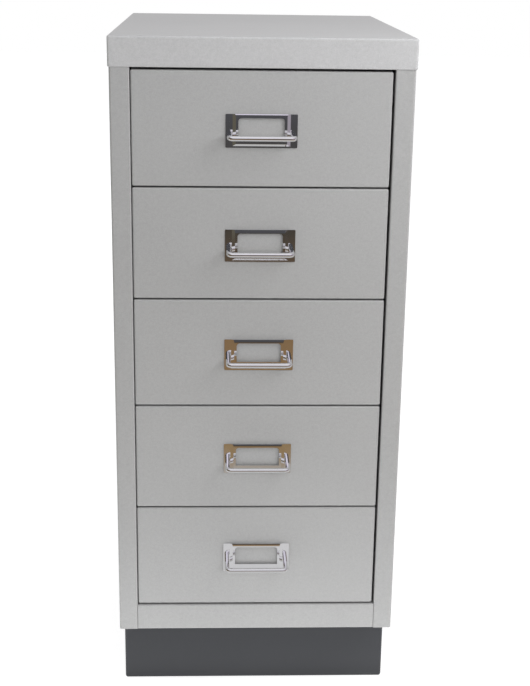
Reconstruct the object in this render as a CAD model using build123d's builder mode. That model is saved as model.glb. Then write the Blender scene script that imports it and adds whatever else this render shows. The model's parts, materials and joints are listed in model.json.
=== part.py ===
from build123d import *
import os

os.makedirs("parts", exist_ok=True)

# A floor-standing steel cabinet with a column of drawers, on a plinth that is set back at the front.
# Lengths are in millimetres. X runs to the viewer's right, Y to the back and Z up.
# The origin is on the floor, at the middle of the whole width and depth, pulls counted in.

# Overall sizes
CAP_WIDTH = 279.0
CAP_DEPTH = 380.0
CARCASS_HEIGHT = 590.0
PLINTH_HEIGHT = 83.0
DRAWER_COUNT = 5

# Carcass sheet metal
SHEET = 1.0
INNER_BEND = 1.0
CAP_BAND = 27.6
CAP_EDGE_ROUND = 0.8
CAP_FIT = 0.1
STILE_WIDTH = 18.5
LIP_INNER_BEND = 0.3
LIP_COVER = 1.2
REAR_FLANGE = 15.0
REAR_PANEL_FIT = 0.2
BOTTOM_RAIL_HEIGHT = 27.0
RAIL_SEAM = 0.15
UPRIGHT_WIDTH = 30.0
FRONT_UPRIGHT_SETBACK = 10.0
REAR_UPRIGHT_SETBACK = 12.0

# Drawer fronts
FACE_RECESS = 0.8
FRONT_DEPTH = 14.0
FRONT_INNER_BEND = 0.6
FRONT_GAP = 1.5
TOP_GAP = 2.2
DRAWER_SIDE_GAP = 1.4
DRAWER_SIDE_SHIFT = -0.7

# Runners, their nylon and their rivets
SLIDE_GAP = 0.3
RUNNER_SHEET = 1.0
RUNNER_INNER_BEND = 0.5
RUNNER_FLANGE = 11.0
RUNNER_ROOM = 12.0
RUNNER_FRONT_GAP = 0.7
RUNNER_REAR_GAP = 2.0
GLIDE_HEIGHT = 4.0
GLIDE_LENGTH = 30.0
RIVET_RADIUS = 1.6
RIVET_FIT = 0.05
RIVET_HEAD_RADIUS = 3.0
RIVET_HEAD_HEIGHT = 0.8
RIVET_TAIL_RADIUS = 2.4
RIVET_TAIL_HEIGHT = 1.0

# Trays, their guides and the buffers behind them
TRAY_SHEET = 0.8
TRAY_INNER_BEND = 1.6
TRAY_RISE = 6.0
TRAY_RIM_DROP = 16.6
TRAY_SIDE_PLAY = 1.4
GUIDE_LENGTH = 30.0
GUIDE_WALL = 1.5
BUFFER_LENGTH = 12.0
BUFFER_RADIUS = 6.0
BUFFER_NOSE_ROUND = 1.5
BUFFER_SPREAD = 60.0

# Card-holder plate and pull
PLATE_WIDTH = 65.6
PLATE_HEIGHT = 30.6
PLATE_DROP = 38.6
PLATE_SHEET = 0.8
PLATE_BEND = 0.5
PLATE_CORNER = 0.8
PLATE_LOW_FLANGE = 1.5
PLATE_TOP_LEAN = 0.4
CARD_ROOM = 1.4
JOGGLE_RUN = 3.0
JOGGLE_LOW_RUN = 1.9
WINDOW_SIDE_BORDER = 2.3
WINDOW_TOP_BORDER = 3.5
WINDOW_HEIGHT = 18.6
WINDOW_TOP_CORNER = 3.0
WINDOW_LOW_CORNER = 1.0
PULL_DIAMETER = 4.8
PULL_EDGE_ROOM = 1.2
PULL_FOOT_ROOM = 0.4
PULL_REACH = 21.5
PULL_DROP = 19.4
PULL_CORNER_BEND = 4.0
SHANK_DIAMETER = 3.6
SHANK_FIT = 0.15
SHANK_TAIL = 1.5
PUSH_NUT_RADIUS = 5.0
PUSH_NUT_THICKNESS = 1.2
PUSH_NUT_ROUND = 0.5

# Plinth and its bolts
PLINTH_SHEET = 1.5
PLINTH_INNER_BEND = 1.0
PLINTH_FLANGE = 25.0
PLINTH_SIDE_INSET = 1.7
PLINTH_SETBACK = 44.0
PLINTH_REAR_INSET = 3.0
BOLT_INSET = 60.0
BOLT_RADIUS = 3.0
BOLT_FIT = 0.3
BOLT_HEAD_RADIUS = 5.5
BOLT_HEAD_HEIGHT = 3.5
BOLT_HEAD_ROUND = 1.2
BOLT_TAIL = 2.0
NUT_ACROSS_FLATS = 10.0
NUT_HEIGHT = 5.0

# How far cuts run past the sheet they open
CUT_OVERRUN = 4.0

# Degrees
HALF_TURN = 180.0

# Bends, measured along the middle or the outside of the sheet
FOLD = INNER_BEND + SHEET / 2
LIP_FOLD = LIP_INNER_BEND + SHEET / 2
RUNNER_FOLD = RUNNER_INNER_BEND + RUNNER_SHEET / 2
CAP_ROUND = INNER_BEND + SHEET
FRONT_ROUND = FRONT_INNER_BEND + SHEET
TRAY_ROUND = TRAY_INNER_BEND + TRAY_SHEET
PLINTH_ROUND = PLINTH_INNER_BEND + PLINTH_SHEET

# Places along Y, from the cap's front face to its rear face
PULL_PROUD = PULL_REACH + PULL_DIAMETER / 2 - SHEET - CAP_FIT - FACE_RECESS
REAR = (CAP_DEPTH + PULL_PROUD) / 2
FRONT = REAR - CAP_DEPTH
STILE_FACE = FRONT + SHEET + CAP_FIT
FACE = STILE_FACE + FACE_RECESS
LIP_END = FACE + FRONT_DEPTH + LIP_COVER
BACK = REAR - SHEET - CAP_FIT
REAR_PANEL_FACE = BACK - SHEET - SHEET
RUNNER_FRONT = LIP_END + RUNNER_FRONT_GAP
RUNNER_REAR = REAR_PANEL_FACE - RUNNER_REAR_GAP
FRONT_UPRIGHT = LIP_END + FRONT_UPRIGHT_SETBACK
REAR_UPRIGHT = REAR_PANEL_FACE - REAR_UPRIGHT_SETBACK - UPRIGHT_WIDTH
TRAY_FRONT = FACE + SHEET
TRAY_REAR = REAR_PANEL_FACE - BUFFER_LENGTH - SLIDE_GAP
PLATE_FRONT = FACE - PLATE_SHEET
PLINTH_FRONT = STILE_FACE + PLINTH_SETBACK
PLINTH_REAR = BACK - PLINTH_REAR_INSET
BOLT_PLACES_Y = (PLINTH_FRONT + BOLT_INSET, PLINTH_REAR - BOLT_INSET)
RIVET_PLACES_Y = (FRONT_UPRIGHT + UPRIGHT_WIDTH / 2, REAR_UPRIGHT + UPRIGHT_WIDTH / 2)

# Places along X, measured out from the middle
SIDE = CAP_WIDTH / 2 - SHEET - CAP_FIT
WALL = SIDE - SHEET
OPENING_HALF = SIDE - STILE_WIDTH
RUNNER_EDGE = OPENING_HALF - RUNNER_FLANGE
RUNNER_WEB = OPENING_HALF - RUNNER_SHEET
TRAY_HALF = RUNNER_EDGE - TRAY_SIDE_PLAY
GUIDE_EDGE = RUNNER_WEB - RIVET_HEAD_HEIGHT - DRAWER_SIDE_GAP
RIM_EDGE = GUIDE_EDGE - GUIDE_WALL
PLINTH_HALF = SIDE - PLINTH_SIDE_INSET
BOLT_PLACE_X = PLINTH_HALF - PLINTH_FLANGE / 2
PULL_HALF = PLATE_WIDTH / 2 - PULL_EDGE_ROOM - PULL_DIAMETER / 2
JOGGLE_FOOT = PULL_HALF - PULL_DIAMETER / 2 - PULL_FOOT_ROOM
JOGGLE_TOP = JOGGLE_FOOT - JOGGLE_RUN
WINDOW_HALF = JOGGLE_TOP - WINDOW_SIDE_BORDER

# Heights, from the floor up
FLOOR = PLINTH_HEIGHT
TOP = FLOOR + CARCASS_HEIGHT
CEILING = TOP - SHEET
SHELL_TOP = TOP - CAP_ROUND
OPENING_BOTTOM = FLOOR + BOTTOM_RAIL_HEIGHT
OPENING_TOP = TOP - CAP_BAND
FRONT_HEIGHT = (OPENING_TOP - TOP_GAP - OPENING_BOTTOM) / DRAWER_COUNT - FRONT_GAP
FRONT_WIDTH = 2 * (OPENING_HALF - DRAWER_SIDE_GAP)
DRAWER_PITCH = FRONT_HEIGHT + FRONT_GAP
TRAY_HEIGHT = FRONT_HEIGHT - TRAY_RISE - TRAY_RIM_DROP
RIM_HEIGHT = TRAY_RISE + TRAY_HEIGHT
BENCH_HEIGHT = RIM_HEIGHT - TRAY_SHEET - SLIDE_GAP - GLIDE_HEIGHT
RIVET_HEIGHT = BENCH_HEIGHT + RUNNER_ROOM / 2

# The top drawer is number 1. Each drawer is placed by the lower edge of its front.
DRAWER_NUMBERS = range(1, DRAWER_COUNT + 1)
DRAWER_LEVELS = [
    OPENING_BOTTOM + FRONT_GAP + (DRAWER_COUNT - number) * DRAWER_PITCH for number in DRAWER_NUMBERS
]
SIDES = {"left": -1, "right": 1}
BOLT_PLACES = [(side * BOLT_PLACE_X, y) for side in SIDES.values() for y in BOLT_PLACES_Y]

# Which point of a box stands on its location
ON_BASE = (Align.CENTER, Align.MIN, Align.MIN)
UNDER_TOP = (Align.CENTER, Align.MIN, Align.MAX)
FROM_CORNER = (Align.MIN, Align.MIN, Align.MIN)


def save(piece, name):
    """Label a finished piece and write it to a file of its own."""
    piece.part.label = name
    export_step(piece.part, f"parts/{name}.step")


def add_block(low, high, mode=Mode.ADD):
    """Add or cut a block between two opposite corners, given in any order."""
    corner = [min(a, b) for a, b in zip(low, high)]
    sizes = [abs(a - b) for a, b in zip(low, high)]
    with Locations(tuple(corner)):
        Box(*sizes, align=FROM_CORNER, mode=mode)


# Carcass


def make_top_panel():
    """Press the cap: a shallow pan, upside down, with rounded edges and corners."""
    with BuildPart() as cap:
        with Locations((0, FRONT, TOP)):
            Box(CAP_WIDTH, CAP_DEPTH, CAP_BAND, align=UNDER_TOP)
        fillet(cap.edges().group_by(Axis.Z)[-1] + cap.edges().filter_by(Axis.Z), CAP_ROUND)
        offset(amount=-SHEET, openings=cap.faces().sort_by(Axis.Z)[0])
        fillet(cap.faces().sort_by(Axis.Z)[0].outer_wire().edges(), CAP_EDGE_ROUND)
    return cap


def make_side_panel(side):
    """Fold one side: rear flange, side wall, front stile and the lip that lines the opening."""
    wall = side * (SIDE - SHEET / 2)
    lip = side * (OPENING_HALF + SHEET / 2)
    rear = BACK - SHEET / 2
    front = STILE_FACE + SHEET / 2
    with BuildPart() as panel:
        with BuildSketch(Plane.XY.offset(FLOOR)):
            with BuildLine():
                FilletPolyline(
                    (side * (SIDE - REAR_FLANGE), rear),
                    (wall, rear),
                    (wall, front),
                    (lip, front),
                    (lip, LIP_END),
                    radius=[FOLD, FOLD, LIP_FOLD],
                )
            trace(line_width=SHEET)
        extrude(amount=SHELL_TOP - FLOOR)
    return panel


def make_rear_panel():
    """Cut the flat sheet that lies inside the rear flanges, clear of their bends."""
    half = SIDE - SHEET - INNER_BEND - REAR_PANEL_FIT
    with BuildPart() as panel:
        add_block((-half, REAR_PANEL_FACE, FLOOR), (half, BACK - SHEET, SHELL_TOP))
    return panel


def make_base_panel():
    """Fold the floor of the carcass, with a flange up at the front and at the rear."""
    front = LIP_END + SHEET / 2
    rear = REAR_PANEL_FACE - SHEET / 2
    floor = FLOOR + SHEET / 2
    flange_top = OPENING_BOTTOM - SHEET
    with BuildPart() as panel:
        with BuildSketch(Plane.YZ.offset(-WALL)):
            with BuildLine():
                FilletPolyline(
                    (front, flange_top), (front, floor), (rear, floor), (rear, flange_top), radius=FOLD
                )
            trace(line_width=SHEET)
        extrude(amount=2 * WALL)
        with BuildSketch(Plane.XY.offset(FLOOR)):
            with Locations(*BOLT_PLACES):
                Circle(BOLT_RADIUS + BOLT_FIT)
        extrude(amount=SHEET + CUT_OVERRUN, both=True, mode=Mode.SUBTRACT)
    return panel


def make_front_rail(low, high, low_flange_end, high_flange_end):
    """Fold a channel that fills the front between the stiles, with its flanges to the back."""
    half = OPENING_HALF - RAIL_SEAM
    front = STILE_FACE + SHEET / 2
    with BuildPart() as rail:
        with BuildSketch(Plane.YZ.offset(-half)):
            with BuildLine():
                FilletPolyline(
                    (low_flange_end, low + SHEET / 2),
                    (front, low + SHEET / 2),
                    (front, high - SHEET / 2),
                    (high_flange_end, high - SHEET / 2),
                    radius=LIP_FOLD,
                )
            trace(line_width=SHEET)
        extrude(amount=2 * half)
    return rail


def make_upright(side, front):
    """Fold one post: a channel that carries the runners, with its flanges against the side wall."""
    web = side * (OPENING_HALF + SHEET / 2)
    wall = side * WALL
    near = front + SHEET / 2
    far = front + UPRIGHT_WIDTH - SHEET / 2
    rivets = [(front + UPRIGHT_WIDTH / 2, level + RIVET_HEIGHT) for level in DRAWER_LEVELS]
    with BuildPart() as post:
        with BuildSketch(Plane.XY.offset(FLOOR + SHEET)):
            with BuildLine():
                FilletPolyline((wall, near), (web, near), (web, far), (wall, far), radius=FOLD)
            trace(line_width=SHEET)
        extrude(amount=CEILING - FLOOR - SHEET)
        with BuildSketch(Plane.YZ.offset(side * OPENING_HALF)):
            with Locations(*rivets):
                Circle(RIVET_RADIUS + RIVET_FIT)
        extrude(amount=SHEET + CUT_OVERRUN, both=True, mode=Mode.SUBTRACT)
    return post


# Runners


def make_runner(side, level):
    """Fold one channel that opens towards the drawer and takes the rim of its tray."""
    edge = side * RUNNER_EDGE
    web = side * (OPENING_HALF - RUNNER_SHEET / 2)
    low = level + BENCH_HEIGHT - RUNNER_SHEET / 2
    high = level + BENCH_HEIGHT + RUNNER_ROOM + RUNNER_SHEET / 2
    with BuildPart() as runner:
        with BuildSketch(Plane.XZ.offset(-RUNNER_FRONT)):
            with BuildLine():
                FilletPolyline((edge, low), (web, low), (web, high), (edge, high), radius=RUNNER_FOLD)
            trace(line_width=RUNNER_SHEET)
        extrude(amount=RUNNER_FRONT - RUNNER_REAR)
        with BuildSketch(Plane.YZ.offset(side * OPENING_HALF)):
            with Locations(*[(y, level + RIVET_HEIGHT) for y in RIVET_PLACES_Y]):
                Circle(RIVET_RADIUS + RIVET_FIT)
        extrude(amount=RUNNER_SHEET + CUT_OVERRUN, both=True, mode=Mode.SUBTRACT)
    return runner


def make_runner_glides():
    """Cut the nylon blocks that lie in the front ends of the runners, under the rims."""
    with BuildPart() as glides:
        for side in SIDES.values():
            for level in DRAWER_LEVELS:
                bench = level + BENCH_HEIGHT
                outer = side * (RUNNER_WEB - RUNNER_INNER_BEND)
                add_block(
                    (side * RUNNER_EDGE, RUNNER_FRONT, bench),
                    (outer, RUNNER_FRONT + GLIDE_LENGTH, bench + GLIDE_HEIGHT),
                )
    return glides


def make_runner_rivets():
    """Set a rivet where each runner crosses a post: domed head in the runner, flat tail behind."""
    grip = RUNNER_SHEET + SHEET
    with BuildPart() as rivet:
        with BuildSketch(Plane.XZ):
            with BuildLine():
                TangentArc((-RIVET_HEAD_HEIGHT, 0), (0, RIVET_HEAD_RADIUS), tangent=(0, 1))
                Polyline(
                    (0, RIVET_HEAD_RADIUS),
                    (0, RIVET_RADIUS),
                    (grip, RIVET_RADIUS),
                    (grip, RIVET_TAIL_RADIUS),
                    (grip + RIVET_TAIL_HEIGHT, RIVET_TAIL_RADIUS),
                    (grip + RIVET_TAIL_HEIGHT, 0),
                    (-RIVET_HEAD_HEIGHT, 0),
                )
            make_face()
        revolve(axis=Axis.X)
    heights = [level + RIVET_HEIGHT for level in DRAWER_LEVELS]
    with BuildPart() as rivets:
        with Locations(*[(RUNNER_WEB, y, z) for y in RIVET_PLACES_Y for z in heights]):
            add(rivet.part)
        mirror(about=Plane.YZ)
    return rivets


def make_drawer_buffers():
    """Mould the rubber stops on the rear panel that meet the trays when the drawers close."""
    heights = [level + TRAY_RISE + TRAY_HEIGHT / 2 for level in DRAWER_LEVELS]
    places = [(side * BUFFER_SPREAD, height) for side in SIDES.values() for height in heights]
    with BuildPart() as buffers:
        with BuildSketch(Plane.XZ.offset(-REAR_PANEL_FACE)):
            with Locations(*places):
                Circle(BUFFER_RADIUS)
        extrude(amount=BUFFER_LENGTH)
        fillet(buffers.edges().group_by(Axis.Y)[0], BUFFER_NOSE_ROUND)
    return buffers


# Drawers


def across(side, reach):
    """Give the place along X of a point that lies a reach out from the drawers' own middle."""
    return DRAWER_SIDE_SHIFT + side * reach


def pull_roots(level):
    """Give the two places, across and up, where the pull of a drawer goes through its front."""
    height = level + FRONT_HEIGHT - PLATE_DROP - PULL_DROP
    return [(across(side, PULL_HALF), height) for side in SIDES.values()]


def make_drawer_front(level):
    """Fold one drawer front: a shallow pan that opens to the back, with holes for the pull."""
    with BuildPart() as front:
        with Locations((DRAWER_SIDE_SHIFT, FACE, level)):
            Box(FRONT_WIDTH, FRONT_DEPTH, FRONT_HEIGHT, align=ON_BASE)
        fillet(front.edges().group_by(Axis.Y)[0] + front.edges().filter_by(Axis.Y), FRONT_ROUND)
        offset(amount=-SHEET, openings=front.faces().sort_by(Axis.Y)[-1])
        with BuildSketch(Plane.XZ.offset(-FACE)):
            with Locations(*pull_roots(level)):
                Circle(SHANK_DIAMETER / 2 + SHANK_FIT)
        extrude(amount=SHEET + CUT_OVERRUN, both=True, mode=Mode.SUBTRACT)
    return front


def make_drawer_tray(level):
    """Fold one open tray, with outward rims along its sides that ride in the runners."""
    rim_top = level + RIM_HEIGHT
    with BuildPart() as tray:
        with Locations((DRAWER_SIDE_SHIFT, TRAY_FRONT, level + TRAY_RISE)):
            Box(2 * TRAY_HALF, TRAY_REAR - TRAY_FRONT, TRAY_HEIGHT, align=ON_BASE)
        fillet(tray.edges().group_by(Axis.Z)[0] + tray.edges().filter_by(Axis.Z), TRAY_ROUND)
        offset(amount=-TRAY_SHEET, openings=tray.faces().sort_by(Axis.Z)[-1])
        for side in SIDES.values():
            add_block(
                (across(side, TRAY_HALF - TRAY_SHEET), TRAY_FRONT + TRAY_ROUND, rim_top - TRAY_SHEET),
                (across(side, RIM_EDGE), TRAY_REAR - TRAY_ROUND, rim_top),
            )
        with BuildSketch(Plane.XZ.offset(-TRAY_FRONT)):
            with Locations(*pull_roots(level)):
                Circle(SHANK_DIAMETER / 2 + SHANK_FIT)
        extrude(amount=TRAY_SHEET + CUT_OVERRUN, both=True, mode=Mode.SUBTRACT)
    return tray


def make_rear_guides(level):
    """Mould the two nylon shoes that grip the rear ends of a tray's rims inside the runners."""
    rear = TRAY_REAR - TRAY_ROUND
    low = level + BENCH_HEIGHT + SLIDE_GAP
    high = level + BENCH_HEIGHT + RUNNER_ROOM - SLIDE_GAP
    rim_top = level + RIM_HEIGHT
    with BuildPart() as guides:
        for side in SIDES.values():
            inner = across(side, TRAY_HALF)
            add_block((inner, rear - GUIDE_LENGTH, low), (across(side, GUIDE_EDGE), rear, high))
            add_block(
                (inner, rear - GUIDE_LENGTH, rim_top - TRAY_SHEET),
                (across(side, RIM_EDGE), rear, rim_top),
                mode=Mode.SUBTRACT,
            )
    return guides


def make_raised_middle(foot, bottom, top):
    """Shape the raised middle of a plate: sloped at its sides and below, and rolled back at its top."""
    low = bottom + PLATE_LOW_FLANGE
    crown = foot - CARD_ROOM
    roll_start = (crown, top - WINDOW_TOP_BORDER)
    roll_end = (crown + PLATE_TOP_LEAN, top)
    width = 2 * JOGGLE_FOOT
    height = top - low
    with BuildPart() as middle:
        with Locations((DRAWER_SIDE_SHIFT, foot, low)):
            Wedge(
                width, CARD_ROOM, height, JOGGLE_RUN, JOGGLE_LOW_RUN, width - JOGGLE_RUN, height,
                rotation=(0, 0, HALF_TURN), align=ON_BASE,
            )
        with BuildSketch(Plane.YZ.offset(DRAWER_SIDE_SHIFT)):
            with BuildLine():
                TangentArc(roll_start, roll_end, tangent=(0, 1))
                Polyline(roll_end, (crown, top), roll_start)
            make_face()
        extrude(amount=width, both=True, mode=Mode.SUBTRACT)
    return middle.part


def make_handle_plate(level):
    """Press one plate: a flat rim, a raised middle that takes a card from above, and its window."""
    top = level + FRONT_HEIGHT - PLATE_DROP
    bottom = top - PLATE_HEIGHT
    with BuildPart() as plate:
        with Locations((DRAWER_SIDE_SHIFT, PLATE_FRONT, bottom)):
            Box(PLATE_WIDTH, PLATE_SHEET, PLATE_HEIGHT, align=ON_BASE)
        fillet(plate.edges().filter_by(Axis.Y), PLATE_CORNER)
        add(make_raised_middle(PLATE_FRONT, bottom, top))
        fillet(plate.edges().group_by(Axis.Y)[0].sort_by(Axis.Z)[:-1], PLATE_BEND)
        add(make_raised_middle(FACE, bottom, top), mode=Mode.SUBTRACT)
        with BuildSketch(Plane.XZ.offset(-FACE)):
            with Locations((DRAWER_SIDE_SHIFT, top - WINDOW_TOP_BORDER - WINDOW_HEIGHT / 2)):
                window = Rectangle(2 * WINDOW_HALF, WINDOW_HEIGHT)
            fillet(window.vertices().group_by(Axis.Y)[-1], WINDOW_TOP_CORNER)
            fillet(window.vertices().group_by(Axis.Y)[0], WINDOW_LOW_CORNER)
        extrude(amount=CARD_ROOM + CUT_OVERRUN, mode=Mode.SUBTRACT)
        with BuildSketch(Plane.XZ.offset(-FACE)):
            with Locations(*pull_roots(level)):
                Circle(SHANK_DIAMETER / 2 + SHANK_FIT)
        extrude(amount=PLATE_SHEET + CUT_OVERRUN, both=True, mode=Mode.SUBTRACT)
    return plate


def make_pull(level):
    """Bend one pull from round bar, with thinner shanks that go through the plate and the front."""
    (left, height), (right, height) = pull_roots(level)
    bar_y = FACE - PULL_REACH
    shank = PLATE_SHEET + SHEET + TRAY_SHEET + PUSH_NUT_THICKNESS + SHANK_TAIL
    with BuildPart() as pull:
        with BuildLine():
            FilletPolyline(
                (left, PLATE_FRONT, height),
                (left, bar_y, height),
                (right, bar_y, height),
                (right, PLATE_FRONT, height),
                radius=PULL_CORNER_BEND,
            )
        with BuildSketch(Plane.XZ.offset(-PLATE_FRONT)):
            with Locations((left, height)):
                Circle(PULL_DIAMETER / 2)
        sweep()
        with BuildSketch(Plane.XZ.offset(-PLATE_FRONT)):
            with Locations(*pull_roots(level)):
                Circle(SHANK_DIAMETER / 2)
        extrude(amount=-shank)
    return pull


def make_pull_nuts(level):
    """Stamp the two push nuts that grip the pull's shanks inside the tray."""
    seat = TRAY_FRONT + TRAY_SHEET
    with BuildPart() as nuts:
        with BuildSketch(Plane.XZ.offset(-seat)):
            with Locations(*pull_roots(level)):
                Circle(PUSH_NUT_RADIUS)
                Circle(SHANK_DIAMETER / 2, mode=Mode.SUBTRACT)
        extrude(amount=-PUSH_NUT_THICKNESS)
        outer = nuts.edges().group_by(Axis.Y)[-1].filter_by(lambda edge: edge.radius > SHANK_DIAMETER / 2)
        fillet(outer, PUSH_NUT_ROUND)
    return nuts


# Plinth


def plinth_corners(inset):
    """Give the plinth's corners in plan, round from the front left, each moved in by an inset."""
    across_half = PLINTH_HALF - inset
    front = PLINTH_FRONT + inset
    rear = PLINTH_REAR - inset
    return [(-across_half, front), (across_half, front), (across_half, rear), (-across_half, rear)]


def make_plinth_ring():
    """Fold the whole plinth: four walls with flanges inward at the top and at the floor."""
    middle = (PLINTH_FRONT + PLINTH_REAR) / 2
    depth = PLINTH_REAR - PLINTH_FRONT
    with BuildPart() as ring:
        with Locations((0, PLINTH_FRONT, 0)):
            Box(2 * PLINTH_HALF, depth, PLINTH_HEIGHT, align=ON_BASE)
        fillet(ring.edges(), PLINTH_ROUND)
        offset(amount=-PLINTH_SHEET, mode=Mode.SUBTRACT)
        with BuildSketch(Plane.XY):
            with Locations((0, middle)):
                Rectangle(2 * (PLINTH_HALF - PLINTH_FLANGE), depth - 2 * PLINTH_FLANGE)
        extrude(amount=PLINTH_HEIGHT, mode=Mode.SUBTRACT)
        with BuildSketch(Plane.XY.offset(PLINTH_HEIGHT)):
            with Locations(*BOLT_PLACES):
                Circle(BOLT_RADIUS + BOLT_FIT)
        extrude(amount=-PLINTH_SHEET - CUT_OVERRUN, mode=Mode.SUBTRACT)
    return ring


def make_plinth_rail(ring, place):
    """Cut one mitred rail out of the ring, from one corner to the next one round."""
    outer = plinth_corners(0)
    inner = plinth_corners(PLINTH_FLANGE)
    after = (place + 1) % len(outer)
    with BuildPart() as rail:
        add(ring.part)
        with BuildSketch(Plane.XY):
            with BuildLine():
                Polyline(outer[place], outer[after], inner[after], inner[place], close=True)
            make_face()
        extrude(amount=PLINTH_HEIGHT, mode=Mode.INTERSECT)
    return rail


def make_plinth_bolts():
    """Turn the bolts that go down through the base panel and the plinth's upper flange."""
    seat = FLOOR + SHEET
    tail = PLINTH_HEIGHT - PLINTH_SHEET - NUT_HEIGHT - BOLT_TAIL
    with BuildPart() as bolts:
        with BuildSketch(Plane.XY.offset(seat)):
            with Locations(*BOLT_PLACES):
                Circle(BOLT_HEAD_RADIUS)
        extrude(amount=BOLT_HEAD_HEIGHT)
        fillet(bolts.edges().group_by(Axis.Z)[-1], BOLT_HEAD_ROUND)
        with BuildSketch(Plane.XY.offset(seat)):
            with Locations(*BOLT_PLACES):
                Circle(BOLT_RADIUS)
        extrude(amount=tail - seat)
    return bolts


def make_plinth_nuts():
    """Cut the hexagon nuts under the plinth's upper flange."""
    with BuildPart() as nuts:
        with BuildSketch(Plane.XY.offset(PLINTH_HEIGHT - PLINTH_SHEET)):
            with Locations(*BOLT_PLACES):
                RegularPolygon(NUT_ACROSS_FLATS / 2, 6, major_radius=False)
                Circle(BOLT_RADIUS, mode=Mode.SUBTRACT)
        extrude(amount=-NUT_HEIGHT)
    return nuts


# Build and write every piece

save(make_top_panel(), "top_panel")
save(make_rear_panel(), "rear_panel")
save(make_base_panel(), "base_panel")
save(make_front_rail(OPENING_TOP, CEILING, LIP_END, LIP_END), "front_rail_top")
save(make_front_rail(FLOOR, OPENING_BOTTOM, LIP_END, LIP_END + SHEET), "front_rail_bottom")
for side_name, side in SIDES.items():
    save(make_side_panel(side), f"side_panel_{side_name}")
    save(make_upright(side, FRONT_UPRIGHT), f"upright_front_{side_name}")
    save(make_upright(side, REAR_UPRIGHT), f"upright_rear_{side_name}")

for number, level in zip(DRAWER_NUMBERS, DRAWER_LEVELS):
    for side_name, side in SIDES.items():
        save(make_runner(side, level), f"runner_{side_name}_{number}")
save(make_runner_glides(), "runner_front_glides")
save(make_runner_rivets(), "runner_rivets")
save(make_drawer_buffers(), "drawer_buffers")

for number, level in zip(DRAWER_NUMBERS, DRAWER_LEVELS):
    save(make_drawer_front(level), f"drawer_{number}_front")
    save(make_drawer_tray(level), f"drawer_{number}_tray")
    save(make_rear_guides(level), f"drawer_{number}_rear_guides")
    save(make_handle_plate(level), f"drawer_{number}_handle_plate")
    save(make_pull(level), f"drawer_{number}_pull")
    save(make_pull_nuts(level), f"drawer_{number}_pull_nuts")

plinth_ring = make_plinth_ring()
for place, rail_name in enumerate(("front", "right", "rear", "left")):
    save(make_plinth_rail(plinth_ring, place), f"plinth_{rail_name}")
save(make_plinth_bolts(), "plinth_bolts")
save(make_plinth_nuts(), "plinth_nuts")
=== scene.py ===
import json
import math

import bmesh
import bpy
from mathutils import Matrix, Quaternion, Vector


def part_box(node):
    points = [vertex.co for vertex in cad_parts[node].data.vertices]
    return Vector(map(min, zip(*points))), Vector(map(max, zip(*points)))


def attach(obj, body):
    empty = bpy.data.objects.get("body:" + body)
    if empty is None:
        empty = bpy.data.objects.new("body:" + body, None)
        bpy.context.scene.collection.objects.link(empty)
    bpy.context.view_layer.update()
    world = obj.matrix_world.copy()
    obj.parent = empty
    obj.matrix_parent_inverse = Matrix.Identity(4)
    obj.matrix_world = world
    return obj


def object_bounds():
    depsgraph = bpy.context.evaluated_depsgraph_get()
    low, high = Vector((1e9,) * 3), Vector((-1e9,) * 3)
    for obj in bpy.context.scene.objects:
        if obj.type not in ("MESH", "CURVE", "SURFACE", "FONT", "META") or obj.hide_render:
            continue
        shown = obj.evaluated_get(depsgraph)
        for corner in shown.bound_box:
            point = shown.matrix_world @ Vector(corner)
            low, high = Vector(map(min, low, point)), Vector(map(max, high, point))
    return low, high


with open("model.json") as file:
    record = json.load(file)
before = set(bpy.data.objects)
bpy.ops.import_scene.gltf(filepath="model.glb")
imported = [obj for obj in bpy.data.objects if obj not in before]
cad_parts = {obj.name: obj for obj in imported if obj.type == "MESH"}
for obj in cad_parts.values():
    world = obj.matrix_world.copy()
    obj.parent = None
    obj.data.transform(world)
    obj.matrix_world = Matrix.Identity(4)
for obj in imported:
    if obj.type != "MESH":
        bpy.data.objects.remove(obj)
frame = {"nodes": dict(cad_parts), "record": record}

# Lengths are in metres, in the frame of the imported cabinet: X to the right, Y to the back, Z up.
CAD_LOW, CAD_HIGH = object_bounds()
FACE_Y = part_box("drawer_1_front")[0].y
UP = Vector((0, 0, 1))

# Camera, which rolls about its own Z axis
CAMERA_PLACE = Vector((-0.0433, -1.3691, 0.7528))
CAMERA_AIM = Vector((0.0052, -0.1779, 0.3879))
CAMERA_ROLL = math.radians(0.84)
CAMERA_ROLL_AXIS = (0, 0, 1)
CAMERA_LENS = 68.57
CAMERA_SENSOR = 36.0

# Base colours of the finishes, as linear shares of red, green and blue
SILVER = (0.362, 0.363, 0.362)
# The cap's silver is the same paint made lighter: painted light, for the extra light that the cap
# band catches.
CAP_LIT_SILVER = (0.456, 0.457, 0.461)
PLINTH_GREY = (0.035, 0.037, 0.042)
CHROME = (0.88, 0.88, 0.89)
ZINC = (0.52, 0.53, 0.55)
NYLON = (0.78, 0.77, 0.72)
RUBBER = (0.028, 0.028, 0.030)

# Sizes of the marks in the finishes
FLAKE_SIZE = 0.0006
MOTTLE_SIZE = 0.0030
CLOUD_SIZE = 0.16
PEEL_SIZE = 0.0022
PEEL_DEPTH = 0.00002
SMUDGE_SIZE = 0.012
WAVE_SIZE = 0.020
WAVE_DEPTH = 0.00003
SPANGLE_SIZE = 0.007
SPANGLE_BLUR_SIZE = 0.010
MOULD_GRAIN_SIZE = 0.0012
MOULD_GRAIN_DEPTH = 0.00003

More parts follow.
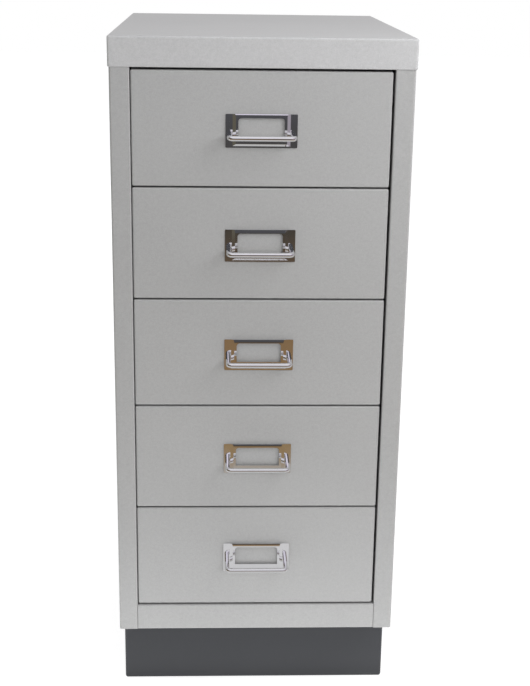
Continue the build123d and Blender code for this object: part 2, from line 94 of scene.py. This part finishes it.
# How the marks show. A range is the stretch of a value over which a finish changes, and shades are
# what its colour is multiplied by at the two ends.
FULL_RANGE = (0.0, 1.0)
NOISE_RANGE = (0.3, 0.7)
PAINT_FLAKE_SHARE = 0.30
PAINT_MOTTLE_SHARE = 0.45
PAINT_CLOUD_SHARE = 0.25
PAINT_TONE_RANGE = (0.25, 0.75)
PAINT_ROUGHNESS_CHANGE = 0.04
PAINT_PEEL_STRENGTH = 0.5
CHROME_SHADES = (0.97, 1.0)
CHROME_SMUDGE_RANGE = (0.35, 0.75)
CHROME_ROUGHNESS = (0.035, 0.085)
CHROME_WAVE_STRENGTH = 0.6
ZINC_PATCH_SHARE = 0.7
ZINC_GRAIN_SHARE = 0.3
ZINC_TONE_RANGE = (0.1, 0.9)
ZINC_SHADES = (0.86, 1.12)
ZINC_METALLIC = 0.9
ZINC_ROUGHNESS = (0.34, 0.46)
ZINC_GRAIN_STRENGTH = 0.4
MOULD_SHADES = (0.92, 1.05)
MOULD_ROUGHNESS_CHANGE = 0.05
MOULD_GRAIN_STRENGTH = 0.5
MOULD_SCATTER = (0.002, 0.002, 0.0015)

# Light, with the powers of the lamps in watts
AMBIENT = 0.58
BACKGROUND = 1.0
FLOOR_WHITE = 0.86
FLOOR_GLOW = 0.84
FLOOR_DIFFUSE = 0.34
FLOOR_HALF = 8.0
FLOOR_DROP = 0.0003
KEY_PLACE = Vector((0.58, -0.54, 0.98))
KEY_SIZE = (0.5, 0.5)
KEY_POWER = 5.4
FILL_PLACE = Vector((0.5, -2.8, 1.4))
FILL_SIZE = (2.4, 1.8)
FILL_POWER = 25.0
BACK_PLACE = Vector((-1.5, 2.3, 0.70))
BACK_SIZE = (2.0, 1.0)
BACK_POWER = 24.0
BOUNCE_SIZE = (1.0, 0.2)
BOUNCE_LIFT = 0.004
BOUNCE_POWER = 1.2

# What the chrome sees of a room: a floor that is white close by and brown further off, and walls
# that are dark low down and pale above. The floor's tones go by the distance from the cabinet's
# foot, from 0 at ROOM_NEAR to 1 at ROOM_FAR.
ROOM_NEAR = 0.20
ROOM_FAR = 4.60
ROOM_BACK = 2.40
ROOM_LEFT = -1.70
ROOM_RIGHT = 2.00
ROOM_HEIGHT = 2.4
ROOM_LIFT = 0.002
ROOM_FLOOR_GAP = 0.004
ROOM_FLOOR_TONES = (
    (0.000, (0.52, 0.52, 0.52)),
    (0.030, (0.66, 0.66, 0.67)),
    (0.060, (0.63, 0.62, 0.62)),
    (0.092, (0.42, 0.40, 0.37)),
    (0.111, (0.29, 0.20, 0.105)),
    (0.248, (0.235, 0.150, 0.078)),
    (0.345, (0.140, 0.095, 0.060)),
    (0.472, (0.062, 0.053, 0.043)),
    (1.000, (0.070, 0.070, 0.074)),
)
WALL_SPLIT = 1.72
WALL_BLEND = 0.05
FRONT_TONE = (0.075, 0.075, 0.082)
LEFT_TONE = (0.115, 0.105, 0.080)
RIGHT_TONE = (0.34, 0.31, 0.35)
BACK_TONE = (0.76, 0.75, 0.75)
UPPER_TONE = (0.82, 0.78, 0.90)
CEILING_TONE = (0.78, 0.77, 0.80)
ROOM_WALLS = (
    ("room_front", FRONT_TONE, UPPER_TONE),
    ("room_right", RIGHT_TONE, UPPER_TONE),
    ("room_back", BACK_TONE, BACK_TONE),
    ("room_left", LEFT_TONE, UPPER_TONE),
)

# Spot welds on the rear flanges. Each ring has its share of the radius and of the rim's height.
WELD_RADIUS = 0.0026
WELD_RIM = 0.00012
WELD_COUNT = 9
WELD_END_INSET = 0.035
WELD_SIDE_INSET = 2 * WELD_RADIUS
WELD_RINGS = ((1.00, 0.0), (0.86, 1.0), (0.70, 0.9), (0.45, 0.35), (0.20, 0.25))
WELD_SIDES = 24


# Shader helpers


def add_node(tree, kind, inputs=None, **settings):
    """Add a shader node, set its own settings, and fill or link its inputs."""
    made = tree.nodes.new(f"ShaderNode{kind}")
    for name, value in settings.items():
        setattr(made, name, value)
    for name, value in (inputs or {}).items():
        if isinstance(value, bpy.types.NodeSocket):
            tree.links.new(value, made.inputs[name])
        else:
            made.inputs[name].default_value = value
    return made


def new_material(name):
    """Make an empty node material, with its tree and its surface socket."""
    material = bpy.data.materials.new(name)
    material.use_nodes = True
    material.node_tree.nodes.clear()
    output = add_node(material.node_tree, "OutputMaterial")
    return material, material.node_tree, output.inputs["Surface"]


def object_place(tree):
    """Give the point's place on its own object, in metres, which rides with a moving drawer."""
    return add_node(tree, "TexCoord").outputs["Object"]


def noise(tree, place, size, detail):
    """Give a soft noise, from 0 to 1, whose marks are about one size across."""
    inputs = {"Vector": place, "Scale": 1 / size, "Detail": detail}
    return add_node(tree, "TexNoise", inputs).outputs["Fac"]


def cells(tree, place, size):
    """Give each cell of a pattern, about one size across, its own value from 0 to 1."""
    pattern = add_node(tree, "TexVoronoi", {"Vector": place, "Scale": 1 / size})
    return add_node(tree, "SeparateColor", {"Color": pattern.outputs["Color"]}).outputs["Red"]


def weighted_sum(tree, parts):
    """Add up several values, each times its own weight."""
    total = None
    for socket, weight in parts:
        term = add_node(tree, "Math", {0: socket, 1: weight}, operation="MULTIPLY").outputs[0]
        total = term if total is None else add_node(tree, "Math", {0: total, 1: term}).outputs[0]
    return total


def around(middle, reach):
    """Give the range that reaches as far below a middle value as above it."""
    return middle - reach, middle + reach


def spread(tree, value, source, target):
    """Map a value from one range to another, and hold it there."""
    inputs = {
        "Value": value,
        "From Min": source[0],
        "From Max": source[1],
        "To Min": target[0],
        "To Max": target[1],
    }
    return add_node(tree, "MapRange", inputs).outputs["Result"]


def colour_ramp(tree, value, stops):
    """Turn a value into a colour, by stops that each hold a place from 0 to 1 and a colour."""
    ramp = add_node(tree, "ValToRGB", {"Fac": value})
    elements = ramp.color_ramp.elements
    while len(elements) < len(stops):
        elements.new(1.0)
    for element, (place, colour) in zip(elements, stops):
        element.position = place
        element.color = (*colour, 1.0)
    return ramp.outputs["Color"]


def shaded(tree, value, source, colour, shades):
    """Turn a value into shades of one colour, from the first to the second over a range."""
    stops = [
        (place, tuple(channel * factor for channel in colour))
        for place, factor in zip(source, shades)
    ]
    return colour_ramp(tree, value, stops)


def grey(level):
    """Give a colour with the same level of red, green and blue."""
    return level, level, level, 1.0


def bump(tree, height, depth, strength):
    """Raise a surface by a height from 0 to 1 times a depth."""
    inputs = {"Height": height, "Distance": depth, "Strength": strength}
    return add_node(tree, "Bump", inputs).outputs["Normal"]


def finish_with(tree, surface, kind, inputs):
    """Finish a material with one shader."""
    shader = add_node(tree, kind, inputs)
    tree.links.new(shader.outputs[0], surface)


# Finishes


def make_flake_paint(name, colour, metallic, roughness, contrast):
    """Satin paint with metal flake: a fine speckle, faint clouds and a slight orange peel."""
    material, tree, surface = new_material(name)
    place = object_place(tree)
    flake = cells(tree, place, FLAKE_SIZE)
    mottle = noise(tree, place, MOTTLE_SIZE, detail=3.0)
    cloud = noise(tree, place, CLOUD_SIZE, detail=2.0)
    peel = noise(tree, place, PEEL_SIZE, detail=1.0)
    tone = weighted_sum(tree, [
        (flake, PAINT_FLAKE_SHARE),
        (mottle, PAINT_MOTTLE_SHARE),
        (cloud, PAINT_CLOUD_SHARE),
    ])
    rough = around(roughness, PAINT_ROUGHNESS_CHANGE)
    finish_with(tree, surface, "BsdfPrincipled", {
        "Base Color": shaded(tree, tone, PAINT_TONE_RANGE, colour, around(1, contrast)),
        "Metallic": metallic,
        "Roughness": spread(tree, mottle, NOISE_RANGE, rough),
        "Normal": bump(tree, peel, PEEL_DEPTH, PAINT_PEEL_STRENGTH),
    })
    return material


def make_chrome(name, colour):
    """Bright plating: nearly a mirror, with faint smudges and the slight waves of pressed sheet."""
    material, tree, surface = new_material(name)
    place = object_place(tree)
    smudge = noise(tree, place, SMUDGE_SIZE, detail=4.0)
    wave = noise(tree, place, WAVE_SIZE, detail=1.0)
    finish_with(tree, surface, "BsdfPrincipled", {
        "Base Color": shaded(tree, smudge, NOISE_RANGE, colour, CHROME_SHADES),
        "Metallic": 1.0,
        "Roughness": spread(tree, smudge, CHROME_SMUDGE_RANGE, CHROME_ROUGHNESS),
        "Normal": bump(tree, wave, WAVE_DEPTH, CHROME_WAVE_STRENGTH),
    })
    return material


def make_zinc(name, colour):
    """Zinc-coated steel: dull metal with the crossed patches of its crystals."""
    material, tree, surface = new_material(name)
    place = object_place(tree)
    drift = add_node(tree, "TexNoise", {"Vector": place, "Scale": 1 / SPANGLE_BLUR_SIZE})
    inputs = {0: drift.outputs["Color"], "Scale": SPANGLE_SIZE}
    offset = add_node(tree, "VectorMath", inputs, operation="SCALE")
    moved = add_node(tree, "VectorMath", {0: place, 1: offset.outputs[0]}).outputs[0]
    patch = cells(tree, moved, SPANGLE_SIZE)
    grain = noise(tree, place, FLAKE_SIZE, detail=2.0)
    tone = weighted_sum(tree, [(patch, ZINC_PATCH_SHARE), (grain, ZINC_GRAIN_SHARE)])
    finish_with(tree, surface, "BsdfPrincipled", {
        "Base Color": shaded(tree, tone, ZINC_TONE_RANGE, colour, ZINC_SHADES),
        "Metallic": ZINC_METALLIC,
        "Roughness": spread(tree, patch, FULL_RANGE, ZINC_ROUGHNESS),
        "Normal": bump(tree, grain, PEEL_DEPTH, ZINC_GRAIN_STRENGTH),
    })
    return material


def make_moulded(name, colour, roughness, subsurface):
    """Moulded nylon or rubber: faint clouds in the colour and the grain of its mould."""
    material, tree, surface = new_material(name)
    place = object_place(tree)
    cloud = noise(tree, place, SMUDGE_SIZE, detail=3.0)
    grain = noise(tree, place, MOULD_GRAIN_SIZE, detail=2.0)
    rough = around(roughness, MOULD_ROUGHNESS_CHANGE)
    finish_with(tree, surface, "BsdfPrincipled", {
        "Base Color": shaded(tree, cloud, NOISE_RANGE, colour, MOULD_SHADES),
        "Roughness": spread(tree, grain, NOISE_RANGE, rough),
        "Subsurface Weight": subsurface,
        "Subsurface Radius": MOULD_SCATTER,
        "Normal": bump(tree, grain, MOULD_GRAIN_DEPTH, MOULD_GRAIN_STRENGTH),
    })
    return material


def dress(piece, material):
    """Give a piece one finish all over."""
    if not piece.material_slots:
        piece.data.materials.append(material)
    for slot in piece.material_slots:
        slot.material = material


def dress_cad_nodes():
    """Give each node of the frame the finish of its slot, and the cap a lighter copy of the silver:
    painted light.
    """
    finishes = {
        "silver_paint": make_flake_paint(
            "silver_paint", SILVER, metallic=0.20, roughness=0.44, contrast=0.09
        ),
        "plinth_paint": make_flake_paint(
            "plinth_paint", PLINTH_GREY, metallic=0.0, roughness=0.42, contrast=0.06
        ),
        "chrome": make_chrome("chrome", CHROME),
        "zinc_steel": make_zinc("zinc_steel", ZINC),
        "white_nylon": make_moulded("white_nylon", NYLON, roughness=0.45, subsurface=0.15),
        "rubber": make_moulded("rubber", RUBBER, roughness=0.78, subsurface=0.0),
    }
    for part in frame["record"]["subparts"]:
        dress(frame["nodes"][part["node"]], finishes[part["material_slot"]])
    # Painted light: the cap gets a lighter copy of the silver paint, standing in for the brighter
    # light on its band.
    cap_lit_paint = make_flake_paint(
        "cap_lit_paint", CAP_LIT_SILVER, metallic=0.20, roughness=0.42, contrast=0.10
    )
    dress(frame["nodes"]["top_panel"], cap_lit_paint)
    return finishes


# Spot welds


def add_weld(mesh, centre):
    """Add one weld mark to a mesh: a low round rim with a dished middle, facing back."""
    rings = []
    for radius_share, height_share in WELD_RINGS:
        ring = []
        for step in range(WELD_SIDES):
            angle = math.tau * step / WELD_SIDES
            outward = Vector((math.cos(angle), 0, math.sin(angle))) * WELD_RADIUS * radius_share
            raised = Vector((0, WELD_RIM * height_share, 0))
            ring.append(mesh.verts.new(centre + outward + raised))
        rings.append(ring)
    for outer, inner in zip(rings, rings[1:]):
        for step in range(WELD_SIDES):
            after = (step + 1) % WELD_SIDES
            mesh.faces.new((outer[step], outer[after], inner[after], inner[step]))
    mesh.faces.new(rings[-1])


def make_welds(material):
    """Mark the spot welds that hold the rear panel, down both rear flanges."""
    mesh = bmesh.new()
    flange_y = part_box("side_panel_left")[1].y
    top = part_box("top_panel")[0].z - WELD_END_INSET
    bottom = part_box("side_panel_left")[0].z + WELD_END_INSET
    rear_low, rear_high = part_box("rear_panel")
    for column in (rear_low.x + WELD_SIDE_INSET, rear_high.x - WELD_SIDE_INSET):
        for step in range(WELD_COUNT):
            height = bottom + (top - bottom) * step / (WELD_COUNT - 1)
            add_weld(mesh, Vector((column, flange_y, height)))
    bmesh.ops.recalc_face_normals(mesh, faces=mesh.faces)
    data = bpy.data.meshes.new("rear_spot_welds")
    mesh.to_mesh(data)
    mesh.free()
    data.shade_smooth()
    welds = bpy.data.objects.new("rear_spot_welds", data)
    bpy.context.scene.collection.objects.link(welds)
    dress(welds, material)
    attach(welds, "cabinet")


# Stage


def add_plane(name, corners, material):
    """Add a flat sheet to the stage, between its corners."""
    data = bpy.data.meshes.new(name)
    data.from_pydata(corners, [], [tuple(range(len(corners)))])
    sheet = bpy.data.objects.new(name, data)
    bpy.context.scene.collection.objects.link(sheet)
    data.materials.append(material)
    return sheet


def rectangle(left, right, front, back, height):
    """Give the corners of a level rectangle, in turn from its front left."""
    plan = ((left, front), (right, front), (right, back), (left, back))
    return [(x, y, height) for x, y in plan]


def seen_rays(tree):
    """Give 1 for rays that show the background: from the camera, off gloss and through glass."""
    path = add_node(tree, "LightPath").outputs
    inputs = {0: path["Is Camera Ray"], 1: path["Is Glossy Ray"]}
    outside = add_node(tree, "Math", inputs, operation="MAXIMUM").outputs[0]
    inputs = {0: outside, 1: path["Is Transmission Ray"]}
    return add_node(tree, "Math", inputs, operation="MAXIMUM").outputs[0]


def make_floor_material():
    """White floor: plain for the light that it gives back, glowing a little where it is seen."""
    material, tree, surface = new_material("floor")
    plain = add_node(tree, "BsdfDiffuse", {"Color": grey(FLOOR_WHITE)})
    glow = add_node(tree, "Emission", {"Strength": FLOOR_GLOW})
    shadowed = add_node(tree, "BsdfDiffuse", {"Color": grey(FLOOR_DIFFUSE)})
    seen = add_node(tree, "AddShader", {0: glow.outputs[0], 1: shadowed.outputs[0]})
    inputs = {0: seen_rays(tree), 1: plain.outputs[0], 2: seen.outputs[0]}
    finish_with(tree, surface, "MixShader", inputs)
    return material


def make_floor():
    """Lay the floor just under the plinth."""
    height = CAD_LOW.z - FLOOR_DROP
    corners = rectangle(-FLOOR_HALF, FLOOR_HALF, -FLOOR_HALF, FLOOR_HALF, height)
    add_plane("floor", corners, make_floor_material())


def make_wall_material(name, low_tone, high_tone):
    """A card of one tone low down and another above, which only reflections show."""
    material, tree, surface = new_material(name)
    height = add_node(tree, "SeparateXYZ", {"Vector": object_place(tree)}).outputs["Z"]
    share = spread(tree, height, around(WALL_SPLIT, WALL_BLEND), FULL_RANGE)
    tone = colour_ramp(tree, share, list(zip(FULL_RANGE, (low_tone, high_tone))))
    finish_with(tree, surface, "Emission", {"Color": tone})
    return material


def make_room_floor_material():
    """The room's floor, by the distance from the cabinet's foot: white, then brown, then dark."""
    material, tree, surface = new_material("room_floor")
    inputs = {0: object_place(tree), 1: (0.0, FACE_Y, CAD_LOW.z)}
    away = add_node(tree, "VectorMath", inputs, operation="DISTANCE").outputs["Value"]
    share = spread(tree, away, (ROOM_NEAR, ROOM_FAR), FULL_RANGE)
    finish_with(tree, surface, "Emission", {"Color": colour_ramp(tree, share, ROOM_FLOOR_TONES)})
    return material


def make_room():
    """Stand up what the chrome reflects: the room's four walls, its ceiling and its floor."""
    front = FACE_Y - ROOM_FAR
    near = FACE_Y - ROOM_FLOOR_GAP
    low = CAD_LOW.z + ROOM_LIFT
    bottom = rectangle(ROOM_LEFT, ROOM_RIGHT, front, ROOM_BACK, low)
    top = rectangle(ROOM_LEFT, ROOM_RIGHT, front, ROOM_BACK, ROOM_HEIGHT)
    floor = rectangle(ROOM_LEFT, ROOM_RIGHT, front, near, low)
    sheets = []
    for step, (name, low_tone, high_tone) in enumerate(ROOM_WALLS):
        after = (step + 1) % len(ROOM_WALLS)
        wall = [bottom[step], bottom[after], top[after], top[step]]
        sheets.append(add_plane(name, wall, make_wall_material(name, low_tone, high_tone)))
    ceiling_material = make_wall_material("room_ceiling", CEILING_TONE, CEILING_TONE)
    sheets.append(add_plane("room_ceiling", top, ceiling_material))
    sheets.append(add_plane("room_floor", floor, make_room_floor_material()))
    for sheet in sheets:
        sheet.visible_camera = False
        sheet.visible_diffuse = False
        sheet.visible_transmission = False
        sheet.visible_shadow = False


def make_world():
    """Light the object evenly from all round, and show plain white behind it."""
    world = bpy.data.worlds.new("studio")
    bpy.context.scene.world = world
    world.use_nodes = True
    tree = world.node_tree
    tree.nodes.clear()
    light = add_node(tree, "Background", {"Color": grey(1.0), "Strength": AMBIENT})
    white = add_node(tree, "Background", {"Color": grey(1.0), "Strength": BACKGROUND})
    output = add_node(tree, "OutputWorld")
    inputs = {0: seen_rays(tree), 1: light.outputs[0], 2: white.outputs[0]}
    finish_with(tree, output.inputs["Surface"], "MixShader", inputs)


def add_to_scene(name, data, place, target):
    """Set up a lamp or the camera at a place, turned to a target."""
    holder = bpy.data.objects.new(name, data)
    bpy.context.scene.collection.objects.link(holder)
    holder.rotation_mode = "QUATERNION"
    holder.location = place
    holder.rotation_quaternion = (target - place).to_track_quat("-Z", "Y")
    return holder


def add_softbox(name, place, target, size, power):
    """Hang a soft lamp at a place, turned to a target, which reflections don't show."""
    lamp = bpy.data.lights.new(name, "AREA")
    lamp.shape = "RECTANGLE"
    lamp.size, lamp.size_y = size
    lamp.energy = power
    add_to_scene(name, lamp, place, target).visible_glossy = False


def make_lamps():
    """Light the front from the right, from ahead and from its foot, and the back from the left."""
    middle = (CAD_LOW + CAD_HIGH) / 2
    foot = Vector((middle.x, FACE_Y - BOUNCE_SIZE[1] / 2, CAD_LOW.z + BOUNCE_LIFT))
    add_softbox("key_light", KEY_PLACE, middle, KEY_SIZE, KEY_POWER)
    add_softbox("fill_light", FILL_PLACE, middle, FILL_SIZE, FILL_POWER)
    add_softbox("back_light", BACK_PLACE, middle, BACK_SIZE, BACK_POWER)
    add_softbox("bounce_light", foot, foot + UP, BOUNCE_SIZE, BOUNCE_POWER)


def make_camera():
    """Set the camera where the photograph was taken from, with its slight roll."""
    data = bpy.data.cameras.new("camera")
    data.sensor_fit = "AUTO"
    data.sensor_width = CAMERA_SENSOR
    data.lens = CAMERA_LENS
    camera = add_to_scene("camera", data, CAMERA_PLACE, CAMERA_AIM)
    camera.rotation_quaternion @= Quaternion(CAMERA_ROLL_AXIS, CAMERA_ROLL)
    bpy.context.scene.camera = camera


finishes = dress_cad_nodes()
make_welds(finishes["silver_paint"])
make_floor()
make_room()
make_world()
make_lamps()
make_camera()
bpy.context.scene.view_settings.view_transform = "Standard"
